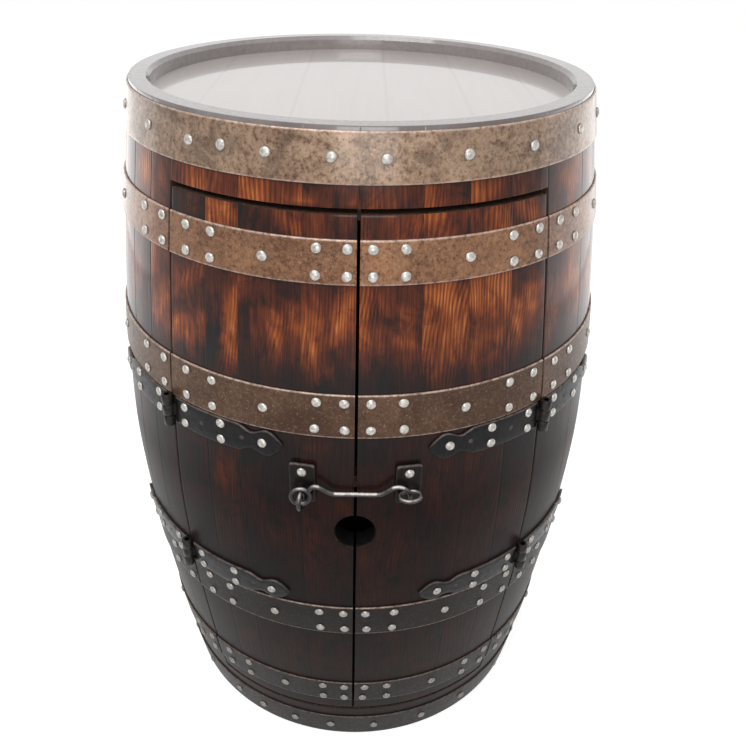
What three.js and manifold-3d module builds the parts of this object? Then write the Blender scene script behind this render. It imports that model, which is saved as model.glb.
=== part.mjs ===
// A cabinet made from a whole oak cask: two doors sawn out of its own staves, a shelf behind them,
// iron strap hinges on both jambs and a hook latch across the meeting edges.
// Millimetres, +Z up. The doors face -Y. Pieces are drawn about the cask's axis, and the finished group
// is then moved so that the origin lies on the floor at the middle of its outline.

import * as THREE from "three";
import { mergeVertices } from "three/addons/utils/BufferGeometryUtils.js";
import Module from "manifold-3d";

const wasm = await Module();
wasm.setup();

// Cask: overall sizes and the curve of its side
const caskHeight = 900;
const headDiameter = 545;
const bilgeDiameter = 643;
const bilgePower = 1.65;
const staveThickness = 26;
const facetCount = 48;

// Clearances
const seatGap = 0.3;
const jambGap = 3;
const meetingGap = 4;
const doorEndGap = 6;

// Hoops, measured from the nearer end of the cask
const hoopThickness = 2;
const headHoopStart = 4;
const headHoopWidth = 48;
const quarterHoopStart = 103;
const quarterHoopWidth = 45;
const bilgeHoopStart = 267;
const bilgeHoopWidth = 52;

// Heads and the grooves that hold them
const headThickness = 22;
const headRecess = 18;
const crozeDepth = 5;
const crozeClearance = 0.4;
const chimeBevelHeight = 8;
const chimeBevelDepth = 7;
const headBevelHeight = 6;
const headFaceClearance = 1;

// Doors: the opening's half angle, and how far its ends lie from the cask's ends
const doorHalfAngle = 42.9;
const doorOpeningStart = 74;

// Widths of neighbouring staves as shares of the arc that they fill
const carcassStaveShares = [10, 12, 9, 11, 13, 10, 12, 11, 10, 12, 9, 12, 11, 10, 13, 11];
const leftDoorStaveShares = [10.5, 8, 13.4, 11];
const rightDoorStaveShares = [12.6, 9.8, 10, 10.5];

// Bung hole on the meeting edges at half height
const bungDiameter = 46;
const bungChamferDepth = 5;
const bungChamferWidth = 5;

// Shelf and the blocks under it
const shelfTop = 440;
const shelfThickness = 18;
const shelfFrontSetback = 8;
const shelfSplitGap = 0.6;
const cleatHeight = 24;
const cleatDepth = 22;
const cleatLength = 120;
const cleatAngles = { left: -100, back: 180, right: 100 };

// Batten that stops the doors at their upper edge
const stopThickness = 18;
const stopOverlap = 14;
const stopHeight = 38;
const stopHalfAngle = 34;
const stopGap = 0.5;

// Strap hinges
const hingeHoopGap = 1;
const leafThickness = 3.5;
const leafHalfHeight = 17;
const leafReachAngle = 28;
const leafOutlineShares = [
  [-0.05, 1],
  [0.66, 1],
  [0.7, 0.85],
  [0.76, 0.58],
  [0.8, 0.68],
  [0.84, 0.88],
  [0.88, 0.94],
  [0.93, 0.7],
  [1, 0.08],
];
const knuckleRadius = 6.5;
const knuckleLength = 42;
const knuckleSideShare = 0.32;
const knuckleGap = 0.5;
const pinRadius = 3;
const pinGap = 0.35;
const leafTabThickness = 9;
const leafTabAngle = 1.7;

// Hook latch
const latchAngle = 10.6;
const latchPlateWidth = 25;
const latchPlateHeight = 52;
const latchPlateThickness = 3;
const latchHoopGap = 35;
const hookPivotDrop = 34;
const ringRadius = 9.5;
const ringWireRadius = 2.5;
const ringStandOff = 8;
const hookLoopRadius = 8.5;
const hookWireRadius = 2.7;
const hookRunGap = 0.4;
const hookRise = 10.5;
const hookTipDrop = 15;
const hookHumpReach = 14;
const hookShoulderReach = 21;
const hookFootReach = 35;
const hookBarDrop = 1;
const wireSides = 8;
const ringSteps = 20;
const hookSteps = 32;

const midHeight = caskHeight / 2;
const headRadius = headDiameter / 2;
const bilgeRadius = bilgeDiameter / 2;
const fullTurn = 360;
const doorBottom = doorOpeningStart + doorEndGap;
const doorTop = caskHeight - doorBottom;
const waistStart = bilgeHoopStart + bilgeHoopWidth;
const wedgeReach = bilgeDiameter;
const wedgeStart = headRadius / 2;

const oak = { color: 0x6b3a22, roughness: 0.38, metalness: 0 };
const oakDark = { color: 0x3a241c, roughness: 0.42, metalness: 0 };
const oakPale = { color: 0xa98b6f, roughness: 0.5, metalness: 0 };
const oakTop = { color: 0xb5a291, roughness: 0.25, metalness: 0 };
const hoopSteel = { color: 0x8b7150, roughness: 0.45, metalness: 0.85 };
const blackIron = { color: 0x1c1b1c, roughness: 0.45, metalness: 0.8 };

const cabinet = new THREE.Group();

// Radius of the cask's outside at a height, on the true curve.
function outsideRadius(z) {
  const fromMiddle = Math.abs(z - midHeight) / midHeight;
  return bilgeRadius - (bilgeRadius - headRadius) * fromMiddle ** bilgePower;
}

// Heights where the side changes slope: every hoop edge lies on one, so hoops seat flat on the staves.
function sideHeights() {
  const lower = [
    0,
    headHoopStart,
    headHoopStart + headHoopWidth,
    quarterHoopStart,
    quarterHoopStart + quarterHoopWidth,
    (quarterHoopStart + quarterHoopWidth + bilgeHoopStart) / 2,
    bilgeHoopStart,
    bilgeHoopStart + bilgeHoopWidth,
  ];
  const upper = lower.map((z) => caskHeight - z).reverse();
  const waistStep = (midHeight - waistStart) / 2;
  const waist = [];
  for (let z = waistStart + waistStep; z < caskHeight - waistStart - seatGap; z += waistStep) {
    waist.push(z);
  }
  return [...lower, ...waist, ...upper];
}

// Radius of the outside when its side runs straight between the given heights.
function radiusBetween(heights, z) {
  const next = Math.max(1, heights.findIndex((height) => height >= z));
  const share = (z - heights[next - 1]) / (heights[next] - heights[next - 1]);
  return THREE.MathUtils.lerp(outsideRadius(heights[next - 1]), outsideRadius(heights[next]), share);
}

const rows = sideHeights();
const crozeEnd = headRecess + headThickness;
const innerRows = [
  chimeBevelHeight,
  headRecess,
  crozeEnd,
  ...rows.filter((z, index) => z > crozeEnd && z < caskHeight - crozeEnd && index % 3 === 2),
  caskHeight - crozeEnd,
  caskHeight - headRecess,
  caskHeight - chimeBevelHeight,
];
const sideRadius = (z) => radiusBetween(rows, z);
const insideRadius = (z) => radiusBetween(innerRows, z) - staveThickness;
const crozeRadius = insideRadius(crozeEnd) + crozeDepth;

// Direction seen from above: 0 faces -Y, and positive angles turn towards +X.
function direction(angle) {
  const turn = THREE.MathUtils.degToRad(angle);
  return new THREE.Vector2(Math.sin(turn), -Math.cos(turn));
}

function toSolid(geometry) {
  const bare = geometry.index ? geometry.toNonIndexed() : geometry.clone();
  bare.deleteAttribute("normal");
  bare.deleteAttribute("uv");
  const merged = mergeVertices(bare);
  const mesh = new wasm.Mesh({
    numProp: 3,
    vertProperties: merged.attributes.position.array,
    triVerts: new Uint32Array(merged.index.array),
  });
  return new wasm.Manifold(mesh);
}

function toGeometry(solid) {
  const mesh = solid.getMesh();
  const geometry = new THREE.BufferGeometry();
  geometry.setAttribute("position", new THREE.BufferAttribute(mesh.vertProperties, 3));
  geometry.setIndex(new THREE.BufferAttribute(mesh.triVerts, 1));
  geometry.computeVertexNormals();
  return geometry;
}

// A closed [radius, height] outline, listed anticlockwise, turned about the cask's axis.
function turned(outline, sides = facetCount) {
  const points = outline.map(([r, z]) => new THREE.Vector2(r, z));
  if (outline[0][0] !== 0) {
    points.push(points[0].clone());
  }
  const geometry = new THREE.LatheGeometry(points, sides);
  geometry.rotateX(Math.PI / 2);
  return toSolid(geometry);
}

// A flat outline raised from one height to another.
function raised(points, fromZ, toZ) {
  const shape = new THREE.Shape(points);
  const geometry = new THREE.ExtrudeGeometry(shape, { depth: toZ - fromZ, bevelEnabled: false });
  geometry.translate(0, 0, fromZ);
  return toSolid(geometry);
}

// The wedge between two angles about the axis, each side moved inwards by its own gap.
function wedge(fromAngle, toAngle, fromGap, toGap, fromZ = 0, toZ = caskHeight) {
  const from = direction(fromAngle);
  const to = direction(toAngle);
  const middle = direction((fromAngle + toAngle) / 2);
  const fromShift = new THREE.Vector2(-from.y, from.x).multiplyScalar(fromGap);
  const toShift = new THREE.Vector2(to.y, -to.x).multiplyScalar(toGap);
  const points = [
    from.clone().multiplyScalar(wedgeStart).add(fromShift),
    from.clone().multiplyScalar(wedgeReach).add(fromShift),
    middle.clone().multiplyScalar(wedgeReach),
    to.clone().multiplyScalar(wedgeReach).add(toShift),
    to.clone().multiplyScalar(wedgeStart).add(toShift),
  ];
  return raised(points, fromZ, toZ);
}

// A shell on the outside of the cask, from one distance off the staves to another.
function sideShell(fromZ, toZ, innerGap, outerGap) {
  const heights = [fromZ, ...rows.filter((row) => row > fromZ && row < toZ), toZ];
  const outer = heights.map((z) => [sideRadius(z) + outerGap, z]);
  const inner = heights.map((z) => [sideRadius(z) + innerGap, z]).reverse();
  return turned([...outer, ...inner]);
}

// A flat outline in the tangent plane at an angle, pushed out radially through the side.
// Outline points are [along the side, height].
function radialPrism(points, angle, fromRadius, toRadius) {
  const shape = new THREE.Shape(points.map(([along, z]) => new THREE.Vector2(along, z)));
  const geometry = new THREE.ExtrudeGeometry(shape, { depth: toRadius - fromRadius, bevelEnabled: false });
  geometry.translate(0, 0, fromRadius);
  geometry.rotateX(Math.PI / 2);
  geometry.rotateZ(THREE.MathUtils.degToRad(angle));
  return toSolid(geometry);
}

function uprightCylinder(radius, fromZ, toZ, centre) {
  const geometry = new THREE.CylinderGeometry(radius, radius, toZ - fromZ, 2 * wireSides);
  geometry.rotateX(Math.PI / 2);
  geometry.translate(centre.x, centre.y, (fromZ + toZ) / 2);
  return toSolid(geometry);
}

function add(name, solid, finish) {
  const mesh = new THREE.Mesh(toGeometry(solid), new THREE.MeshStandardMaterial(finish));
  mesh.name = name;
  cabinet.add(mesh);
}

// Staves: one shell with a bevelled chime and a groove at each end, split along radial joints.
function caskShell() {
  const outer = rows.map((z) => [outsideRadius(z), z]);
  const lip = headRadius - staveThickness + chimeBevelDepth;
  const lowerEnd = [
    [lip, 0],
    [insideRadius(chimeBevelHeight), chimeBevelHeight],
    [insideRadius(headRecess), headRecess],
    [crozeRadius, headRecess],
    [crozeRadius, crozeEnd],
    [insideRadius(crozeEnd), crozeEnd],
  ];
  const upperEnd = lowerEnd.map(([r, z]) => [r, caskHeight - z]).reverse();
  const waist = innerRows.filter((z) => z > crozeEnd && z < caskHeight - crozeEnd);
  const inner = [...lowerEnd, ...waist.map((z) => [insideRadius(z), z]), ...upperEnd];
  return turned([...outer, ...inner.reverse()]);
}

// Joint angles between staves that fill an arc, from their width shares.
function jointAngles(fromAngle, toAngle, shares) {
  const total = shares.reduce((sum, share) => sum + share, 0);
  const angles = [fromAngle];
  for (const share of shares) {
    angles.push(angles.at(-1) + ((toAngle - fromAngle) * share) / total);
  }
  return angles;
}

const shell = caskShell();

function addCarcassStaves() {
  const last = fullTurn - doorHalfAngle;
  const joints = jointAngles(doorHalfAngle, last, carcassStaveShares);
  carcassStaveShares.forEach((share, index) => {
    const cut = wedge(joints[index], joints[index + 1], seatGap / 2, seatGap / 2);
    const number = String(index + 1).padStart(2, "0");
    add(`carcass_stave_${number}`, shell.intersect(cut), oak);
  });
  const edge = seatGap / 2;
  const frontCut = (fromZ, toZ) => wedge(-doorHalfAngle, doorHalfAngle, edge, edge, fromZ, toZ);
  add("lower_front_staves", shell.intersect(frontCut(0, doorOpeningStart)), oakDark);
  add("upper_front_staves", shell.intersect(frontCut(caskHeight - doorOpeningStart, caskHeight)), oak);
}

// The bung hole, flared at the outside, bored towards the axis from the front.
function bungCutter() {
  const bore = bungDiameter / 2;
  const flareStart = bilgeRadius - bungChamferDepth;
  const flareReach = bungChamferWidth + bungChamferDepth;
  const outline = [
    [0, insideRadius(midHeight) - staveThickness],
    [bore, insideRadius(midHeight) - staveThickness],
    [bore, flareStart],
    [bore + flareReach, flareStart + 2 * bungChamferDepth],
    [0, flareStart + 2 * bungChamferDepth],
  ];
  const geometry = new THREE.LatheGeometry(outline.map(([r, y]) => new THREE.Vector2(r, y)), 3 * wireSides);
  geometry.rotateX(Math.PI);
  geometry.translate(0, 0, midHeight);
  return toSolid(geometry);
}

// The two doors' arcs: each has its jamb side and its meeting side.
const halfMeeting = meetingGap / 2;
const doors = {
  left: { from: -doorHalfAngle, to: 0, fromGap: jambGap, toGap: halfMeeting, shares: leftDoorStaveShares },
  right: { from: 0, to: doorHalfAngle, fromGap: halfMeeting, toGap: jambGap, shares: rightDoorStaveShares },
};

function addDoorStaves(side, door) {
  const joints = jointAngles(door.from, door.to, door.shares);
  const bung = bungCutter();
  door.shares.forEach((share, index) => {
    const fromGap = index === 0 ? door.fromGap : seatGap / 2;
    const toGap = index === door.shares.length - 1 ? door.toGap : seatGap / 2;
    const cut = wedge(joints[index], joints[index + 1], fromGap, toGap, doorBottom, doorTop);
    add(`${side}_door_stave_${index + 1}`, shell.intersect(cut).subtract(bung), oak);
  });
}

// Hoops: flat bands that follow the slope of the side.
function hoopRing(start, width) {
  return sideShell(start, start + width, seatGap, seatGap + hoopThickness);
}

function addHoops() {
  const topHoopStart = caskHeight - headHoopStart - headHoopWidth;
  add("top_head_hoop", hoopRing(topHoopStart, headHoopWidth), hoopSteel);
  add("bottom_head_hoop", hoopRing(headHoopStart, headHoopWidth), hoopSteel);
  const cutHoops = {
    upper_quarter_hoop: [caskHeight - quarterHoopStart - quarterHoopWidth, quarterHoopWidth],
    upper_bilge_hoop: [caskHeight - bilgeHoopStart - bilgeHoopWidth, bilgeHoopWidth],
    lower_bilge_hoop: [bilgeHoopStart, bilgeHoopWidth],
    lower_quarter_hoop: [quarterHoopStart, quarterHoopWidth],
  };
  const frontOpening = wedge(-doorHalfAngle, doorHalfAngle, -seatGap / 2, -seatGap / 2);
  for (const [name, [start, width]] of Object.entries(cutHoops)) {
    const ring = hoopRing(start, width);
    add(`carcass_${name}`, ring.subtract(frontOpening), hoopSteel);
    for (const [side, door] of Object.entries(doors)) {
      const cut = wedge(door.from, door.to, door.fromGap, door.toGap);
      add(`${side}_door_${name}`, ring.intersect(cut), hoopSteel);
    }
  }
}

// Heads: round boards seated in the grooves, bevelled on the outer face so that it clears the chime.
function addHeads() {
  const rim = crozeRadius - crozeClearance;
  const faceRim = Math.min(insideRadius(chimeBevelHeight), insideRadius(headRecess)) - headFaceClearance;
  const face = headRecess + seatGap;
  const back = crozeEnd - seatGap;
  const lower = [[0, face], [faceRim, face], [rim, face + headBevelHeight], [rim, back], [0, back]];
  const upper = lower.map(([r, z]) => [r, caskHeight - z]).reverse();
  add("bottom_head", turned(lower), oakDark);
  add("top_head", turned(upper), oakTop);
}

// Shelf: two boards that meet on the centre line, cut straight across at the door opening.
function addShelf() {
  const bottom = shelfTop - shelfThickness;
  const rim = Math.min(insideRadius(bottom), insideRadius(shelfTop)) - seatGap;
  const front = -rim * Math.cos(THREE.MathUtils.degToRad(doorHalfAngle)) + shelfFrontSetback;
  const disc = turned([[0, bottom], [rim, bottom], [rim, shelfTop], [0, shelfTop]]);
  for (const [name, side] of Object.entries({ left: -1, right: 1 })) {
    const inner = (side * shelfSplitGap) / 2;
    const outer = side * bilgeRadius;
    const half = [
      new THREE.Vector2(inner, front),
      new THREE.Vector2(outer, front),
      new THREE.Vector2(outer, bilgeRadius),
      new THREE.Vector2(inner, bilgeRadius),
    ];
    add(`shelf_${name}_board`, disc.intersect(raised(half, bottom, shelfTop)), oakPale);
  }
  for (const [name, angle] of Object.entries(cleatAngles)) {
    const top = bottom - seatGap;
    const low = top - cleatHeight;
    const core = turned([
      [0, low],
      [insideRadius(low) - seatGap, low],
      [insideRadius(top) - seatGap, top],
      [0, top],
    ]);
    const face = [
      [-cleatLength / 2, low],
      [cleatLength / 2, low],
      [cleatLength / 2, top],
      [-cleatLength / 2, top],
    ];
    const block = radialPrism(face, angle, rim - cleatDepth, bilgeRadius);
    add(`shelf_cleat_${name}`, block.intersect(core), oakPale);
  }
}

// A curved batten behind the doors' upper edge, fixed to the staves above it.
function addDoorStop() {
  const low = doorTop - stopOverlap;
  const high = low + stopHeight;
  const batten = turned([
    [insideRadius(low) - stopGap - stopThickness, low],
    [insideRadius(low) - stopGap, low],
    [insideRadius(high) - stopGap, high],
    [insideRadius(high) - stopGap - stopThickness, high],
  ]);
  const cut = wedge(-stopHalfAngle, stopHalfAngle, 0, 0);
  add("door_stop_batten", batten.intersect(cut), oakDark);
}

// Strap hinges: each leaf is a spear-ended strap bent round the side, with rolled knuckles.
const hingeOffset = midHeight - waistStart - hingeHoopGap - leafHalfHeight;
const pinCentreRadius = sideRadius(midHeight + hingeOffset - knuckleLength / 2) + seatGap + knuckleRadius;
const pinAngle = doorHalfAngle - THREE.MathUtils.radToDeg(jambGap / 2 / pinCentreRadius);

// One strap from the pin towards increasing (way 1) or decreasing (way -1) angles.
function strap(angle, way, centreZ) {
  const middle = angle + (way * leafReachAngle) / 2;
  const reach = sideRadius(centreZ) + leafThickness;
  const edge = leafOutlineShares.map(([share, height]) => {
    const turn = THREE.MathUtils.degToRad(leafReachAngle * (share - 1 / 2));
    return [way * reach * Math.sin(turn), height * leafHalfHeight];
  });
  const upper = edge.map(([along, height]) => [along, centreZ + height]);
  const lower = edge.map(([along, height]) => [along, centreZ - height]).reverse();
  const face = seatGap + leafThickness;
  const cover = sideShell(centreZ - leafHalfHeight, centreZ + leafHalfHeight, seatGap, face);
  const near = Math.min(angle, angle + way * leafReachAngle * 2);
  const far = Math.max(angle, angle + way * leafReachAngle * 2);
  const halfJamb = jambGap / 2;
  const pinSide = wedge(near, far, way > 0 ? halfJamb : 0, way > 0 ? 0 : halfJamb);
  const cut = radialPrism([...upper, ...lower], middle, insideRadius(centreZ), wedgeReach);
  return cover.intersect(cut).intersect(pinSide);
}

// A knuckle with the tab that joins it to its strap.
function knuckle(angle, way, centreZ, fromZ, toZ) {
  const centre = direction(angle).multiplyScalar(pinCentreRadius);
  const barrel = uprightCylinder(knuckleRadius, fromZ, toZ, centre);
  const low = Math.max(fromZ, centreZ - leafHalfHeight);
  const high = Math.min(toZ, centreZ + leafHalfHeight);
  const cover = sideShell(low, high, seatGap, leafTabThickness);
  const tabEnd = angle + way * leafTabAngle;
  return barrel.add(cover.intersect(wedge(Math.min(angle, tabEnd), Math.max(angle, tabEnd), 0, 0)));
}

function addHinge(name, angle, centreZ) {
  const doorWay = -Math.sign(angle);
  const centre = direction(angle).multiplyScalar(pinCentreRadius);
  const bottom = centreZ - knuckleLength / 2;
  const top = centreZ + knuckleLength / 2;
  const sideLength = knuckleLength * knuckleSideShare;
  const doorSpan = [bottom + sideLength + knuckleGap, top - sideLength - knuckleGap];
  const frameSpans = [[bottom, bottom + sideLength], [top - sideLength, top]];
  const clearRadius = knuckleRadius + knuckleGap;

  let doorLeaf = strap(angle, doorWay, centreZ);
  let frameLeaf = strap(angle, -doorWay, centreZ);
  for (const [low, high] of frameSpans) {
    doorLeaf = doorLeaf.subtract(uprightCylinder(clearRadius, low - knuckleGap, high + knuckleGap, centre));
  }
  frameLeaf = frameLeaf.subtract(uprightCylinder(clearRadius, ...doorSpan, centre));
  doorLeaf = doorLeaf.add(knuckle(angle, doorWay, centreZ, ...doorSpan));
  doorLeaf = doorLeaf.subtract(uprightCylinder(pinRadius + pinGap, bottom, top, centre));
  for (const span of frameSpans) {
    frameLeaf = frameLeaf.add(knuckle(angle, -doorWay, centreZ, ...span));
  }
  frameLeaf = frameLeaf.add(uprightCylinder(pinRadius, bottom, top, centre));
  add(`${name}_hinge_door_leaf`, doorLeaf, blackIron);
  add(`${name}_hinge_frame_leaf`, frameLeaf, blackIron);
}

// Hook latch: a plate with a ring on each door, and a hook whose eye hangs on top of the left ring's wire.
const latchPlateTop = caskHeight - waistStart - latchHoopGap;
const latchPlateBottom = latchPlateTop - latchPlateHeight;
const hookPivotHeight = latchPlateTop - hookPivotDrop;
const plateFace = outsideRadius(latchPlateBottom) + seatGap + latchPlateThickness;
const ringReach = plateFace + ringStandOff;

function ring(angle, upright, centreZ) {
  const geometry = new THREE.TorusGeometry(ringRadius, ringWireRadius, wireSides, ringSteps);
  if (upright) {
    geometry.rotateY(Math.PI / 2);
  }
  geometry.translate(0, -ringReach, centreZ);
  geometry.rotateZ(THREE.MathUtils.degToRad(angle));
  return toSolid(geometry);
}

function latchPlate(angle) {
  const half = latchPlateWidth / 2;
  const corner = latchPlateThickness;
  const face = [
    [-half, latchPlateBottom + corner],
    [-half + corner, latchPlateBottom],
    [half - corner, latchPlateBottom],
    [half, latchPlateBottom + corner],
    [half, latchPlateTop - corner],
    [half - corner, latchPlateTop],
    [-half + corner, latchPlateTop],
    [-half, latchPlateTop - corner],
  ];
  return radialPrism(face, angle, plateFace - latchPlateThickness, plateFace);
}

function latchHook() {
  const left = direction(-latchAngle).multiplyScalar(ringReach);
  const right = direction(latchAngle).multiplyScalar(ringReach);
  const loop = new THREE.TorusGeometry(hookLoopRadius, hookWireRadius, wireSides, ringSteps);
  loop.rotateX(Math.PI / 2);
  const slack = hookLoopRadius - hookWireRadius - ringWireRadius - hookRunGap;
  const rest = hookPivotHeight - slack;
  loop.translate(left.x, left.y, rest);
  const at = (x, z) => new THREE.Vector3(x, left.y, rest + z);
  const route = new THREE.CatmullRomCurve3([
    at(left.x + hookLoopRadius / 2, (hookLoopRadius * Math.sqrt(3)) / 2),
    at(left.x + hookHumpReach, hookRise),
    at(left.x + hookShoulderReach, hookRise - hookBarDrop),
    at(left.x + hookFootReach, 0),
    at(0, -hookBarDrop),
    at(right.x - hookFootReach, 0),
    at(right.x - hookShoulderReach, hookRise - hookBarDrop),
    at(right.x - hookHumpReach, hookRise),
    at(right.x - hookHumpReach / 4, hookRise / 2),
    at(right.x, -hookTipDrop / 2),
    at(right.x, -hookTipDrop),
  ]);
  const section = new THREE.Shape();
  section.absarc(0, 0, hookWireRadius, 0, 2 * Math.PI);
  const bar = new THREE.ExtrudeGeometry(section, {
    curveSegments: wireSides / 2,
    steps: hookSteps,
    extrudePath: route,
    bevelEnabled: false,
  });
  return toSolid(loop).add(toSolid(bar));
}

function addLatch() {
  const leftRing = ring(-latchAngle, true, hookPivotHeight - ringRadius);
  const rightRing = ring(latchAngle, false, hookPivotHeight - ringWireRadius);
  add("left_door_latch_plate", latchPlate(-latchAngle).add(leftRing), blackIron);
  add("right_door_latch_plate", latchPlate(latchAngle).add(rightRing), blackIron);
  add("latch_hook", latchHook(), blackIron);
}

addCarcassStaves();
addHoops();
for (const [side, door] of Object.entries(doors)) {
  addDoorStaves(side, door);
}
addHeads();
addShelf();
addDoorStop();
for (const [level, offset] of Object.entries({ upper: hingeOffset, lower: -hingeOffset })) {
  addHinge(`left_${level}`, -pinAngle, midHeight + offset);
  addHinge(`right_${level}`, pinAngle, midHeight + offset);
}
addLatch();

const outline = new THREE.Box3().setFromObject(cabinet);
const middle = outline.getCenter(new THREE.Vector3());
cabinet.position.set(-middle.x, -middle.y, 0);

export default cabinet;
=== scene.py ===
# Barrel bar cabinet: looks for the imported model. Metres, +Z up, doors face -Y.
import math
import random

import bmesh
import bpy
from mathutils import Matrix, Vector, noise


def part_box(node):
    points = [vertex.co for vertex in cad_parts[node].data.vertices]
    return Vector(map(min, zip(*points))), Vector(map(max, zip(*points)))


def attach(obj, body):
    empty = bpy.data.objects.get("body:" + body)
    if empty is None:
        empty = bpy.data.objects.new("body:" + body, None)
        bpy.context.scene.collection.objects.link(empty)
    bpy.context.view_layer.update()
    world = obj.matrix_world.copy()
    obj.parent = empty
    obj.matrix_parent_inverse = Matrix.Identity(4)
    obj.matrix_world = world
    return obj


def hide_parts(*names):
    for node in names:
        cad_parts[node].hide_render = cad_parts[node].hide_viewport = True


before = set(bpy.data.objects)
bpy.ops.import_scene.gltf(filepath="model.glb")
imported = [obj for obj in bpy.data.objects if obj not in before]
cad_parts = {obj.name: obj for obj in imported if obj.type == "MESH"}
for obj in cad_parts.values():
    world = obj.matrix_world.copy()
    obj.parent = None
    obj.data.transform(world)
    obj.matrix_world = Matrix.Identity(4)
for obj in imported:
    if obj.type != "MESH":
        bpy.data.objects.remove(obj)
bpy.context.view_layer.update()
rng = random.Random(11)
tau = 2 * math.pi
right, back, up = Vector((1, 0, 0)), Vector((0, 1, 0)), Vector((0, 0, 1))

# The barrel that everything is set out from. Angles are seen from above: 0 faces -Y, plus is towards +X.
barrel = {
    "height": 0.9,
    "headRadius": 0.2725,
    "bilgeRadius": 0.3215,
    "bilgePower": 1.65,
    "thickness": 0.026,
    "doorAngle": 42.9,
    "doorBottom": 0.08,
    "doorTop": 0.82,
    "openingEnd": 0.074,  # height of the stave ends under and over the doors
    "jambGap": 0.003,
    "meetingGap": 0.0034,
}
headLow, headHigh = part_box("top_head")
axisX = (headLow[0] + headHigh[0]) / 2
axisY = (headLow[1] + headHigh[1]) / 2
midHeight = barrel["height"] / 2
standing = Matrix(((1, 0, 0, 0), (0, 0, -1, 0), (0, 1, 0, 0), (0, 0, 0, 1)))  # turns a flat thing to face -Y


def sideRadius(z):
    share = abs(z - midHeight) / midHeight
    belly = barrel["bilgeRadius"] - barrel["headRadius"]
    return barrel["bilgeRadius"] - belly * share ** barrel["bilgePower"]


def around(angle, radius, z):
    turn = math.radians(angle)
    return Vector((axisX + math.sin(turn) * radius, axisY - math.cos(turn) * radius, z))


def lean(z):
    # slope of the side, so that fittings sit square on it
    step = 0.004
    low, high = max(0, z - step), min(barrel["height"], z + step)
    return math.atan2(sideRadius(low) - sideRadius(high), high - low)


def facing(angle, radius, z):
    # frame of an upright fitting: X to its right, Y up, Z outwards
    turn = Matrix.Rotation(math.radians(angle), 4, "Z")
    return Matrix.Translation(around(angle, radius, z)) @ turn @ standing


def seat(angle, z, out):
    # the same for a fitting that leans with the side
    tilt = Matrix.Rotation(-lean(z), 4, "X")
    return facing(angle, sideRadius(z), z) @ tilt @ Matrix.Translation((0, 0, out))


def onSide(angle, points):
    # points are heights and distances out from the staves
    return [around(angle, sideRadius(z) + out, z) for z, out in points]


def oval(centre, first, second, count=32):
    turns = [tau * k / count for k in range(count)]
    return [centre + first * math.cos(turn) + second * math.sin(turn) for turn in turns]


def skinLoops(loops, closedAcross=False):
    # quads between equal loops of points, and a cap at each end unless the last loop meets the first
    n, count = len(loops[0]), len(loops)
    verts = [v for loop in loops for v in loop]
    faces = []
    for k in range(count if closedAcross else count - 1):
        a, b = k * n, ((k + 1) % count) * n
        faces += [(a + i, a + (i + 1) % n, b + (i + 1) % n, b + i) for i in range(n)]
    if not closedAcross:
        faces += [tuple(range(n - 1, -1, -1)), tuple(range((count - 1) * n, count * n))]
    return verts, faces


def makeMesh(name, verts, faces, materials):
    mesh = bpy.data.meshes.new(name)
    mesh.from_pydata([tuple(v) for v in verts], [], faces)
    for material in materials:
        mesh.materials.append(material)
    shape = bmesh.new()
    shape.from_mesh(mesh)
    bmesh.ops.recalc_face_normals(shape, faces=shape.faces)
    shape.to_mesh(mesh)
    shape.free()
    return mesh


def addObject(name, data):
    thing = bpy.data.objects.new(name, data)
    bpy.context.scene.collection.objects.link(thing)
    return thing


class Bundle:
    # gathers several shapes into one piece
    def __init__(self):
        self.verts, self.faces, self.uvs, self.mats, self.values = [], [], [], [], {}

    def add(self, verts, faces, uvs=None, mats=None, values=None):
        start = len(self.verts)
        self.verts += list(verts)
        self.faces += [tuple(i + start for i in face) for face in faces]
        self.uvs += uvs or [(0.0, 0.0)] * len(verts)
        self.mats += mats or [0] * len(faces)
        for key in set(self.values) | set(values or {}):
            have = self.values.setdefault(key, [0.0] * start)
            have += (values or {}).get(key, [0.0] * len(verts))

    def skin(self, loops, wear, closedAcross=False, material=0):
        # wear is for every point, or for fewer of them and then used again
        verts, faces = skinLoops(loops, closedAcross)
        edges = wear * (len(verts) // len(wear))
        self.add(verts, faces, mats=[material] * len(faces), values={"edge": edges})

    def build(self, name, body, materials, slotName, *nodes, sharp=35):
        mesh = makeMesh(name, self.verts, self.faces, materials)
        mesh.polygons.foreach_set("material_index", self.mats)
        layer = mesh.uv_layers.new(name="grain")
        for loop in mesh.loops:
            layer.data[loop.index].uv = self.uvs[loop.vertex_index]
        for key, numbers in self.values.items():
            mesh.attributes.new(key, "FLOAT", "POINT").data.foreach_set("value", numbers)
        mesh.polygons.foreach_set("use_smooth", [True] * len(mesh.polygons))
        mesh.set_sharp_from_angle(angle=math.radians(sharp))
        piece = addObject(name, mesh)
        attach(piece, body)
        if nodes:
            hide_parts(*nodes)
        return piece


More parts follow.
